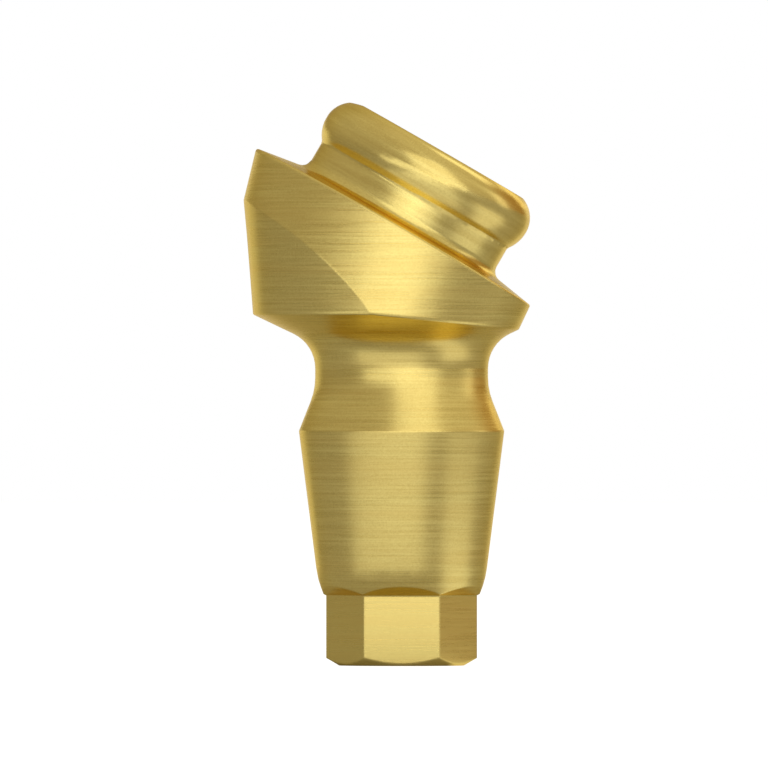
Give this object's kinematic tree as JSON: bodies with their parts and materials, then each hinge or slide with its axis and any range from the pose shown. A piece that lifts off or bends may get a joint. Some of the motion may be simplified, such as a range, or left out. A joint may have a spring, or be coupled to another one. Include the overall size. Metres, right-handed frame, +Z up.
{
  "type": "dental abutment",
  "caption": "Angled dental abutment with a hexagon and cone for an implant, a waisted collar and a grooved round attachment head that leans to one side.",
  "frame": {"origin": "middle of the hexagon's end face, on the implant axis", "axes": "+Z up the implant axis towards the head, +X to the side the head leans to, Y across the lean"},
  "size_m": [0.0055, 0.0056, 0.0107],
  "materials": {
    "gold_coat": "fine turned metal with a thin gold-coloured hard coat"
  },
  "bodies": {
    "root": {"abutment": "gold_coat"}
  },
  "joints": []
}
